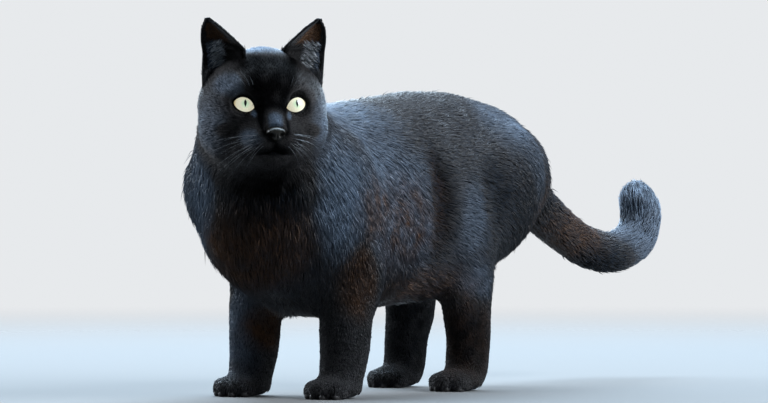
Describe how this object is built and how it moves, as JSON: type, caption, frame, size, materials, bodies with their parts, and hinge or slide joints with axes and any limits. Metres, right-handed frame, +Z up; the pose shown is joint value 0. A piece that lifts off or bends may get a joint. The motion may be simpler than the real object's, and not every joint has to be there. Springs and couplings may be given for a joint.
{
  "type": "domestic cat",
  "caption": "Still life-size model of a black short-haired domestic cat standing with arched back, head turned to its left and tail hooked up.",
  "frame": {"origin": "on the floor, under the middle of the whole model's box", "axes": "-Y is the way the body faces, +X is the cat's left side, +Z is up; the soles lie in the plane z = 0"},
  "size_m": [0.141, 0.6272, 0.278],
  "materials": {
    "coat": "short dense black fur with a slate-blue sheen on the back and a rusty-brown cast on chest and flank",
    "nose_leather": "moist black nose leather, satin to glossy",
    "eye": "pale yellow-green iris with a thin upright slit pupil under a clear glossy cornea",
    "ear_skin": "thin brown-grey skin inside the ear, matte",
    "whisker": "pale grey stiff hair, semi-gloss"
  },
  "bodies": {
    "root": {"head": "coat", "nose": "nose_leather", "eye_left": "eye", "eye_right": "eye", "ear_left": "coat", "ear_right": "coat", "neck": "coat", "chest": "coat", "belly": "coat", "rump": "coat", "tail_base": "coat", "tail_middle": "coat", "tail_tip": "coat", "shoulder_left": "coat", "forearm_left": "coat", "front_paw_left": "coat", "thigh_left": "coat", "shank_left": "coat", "hind_paw_left": "coat", "shoulder_right": "coat", "forearm_right": "coat", "front_paw_right": "coat", "thigh_right": "coat", "shank_right": "coat", "hind_paw_right": "coat"}
  },
  "joints": []
}
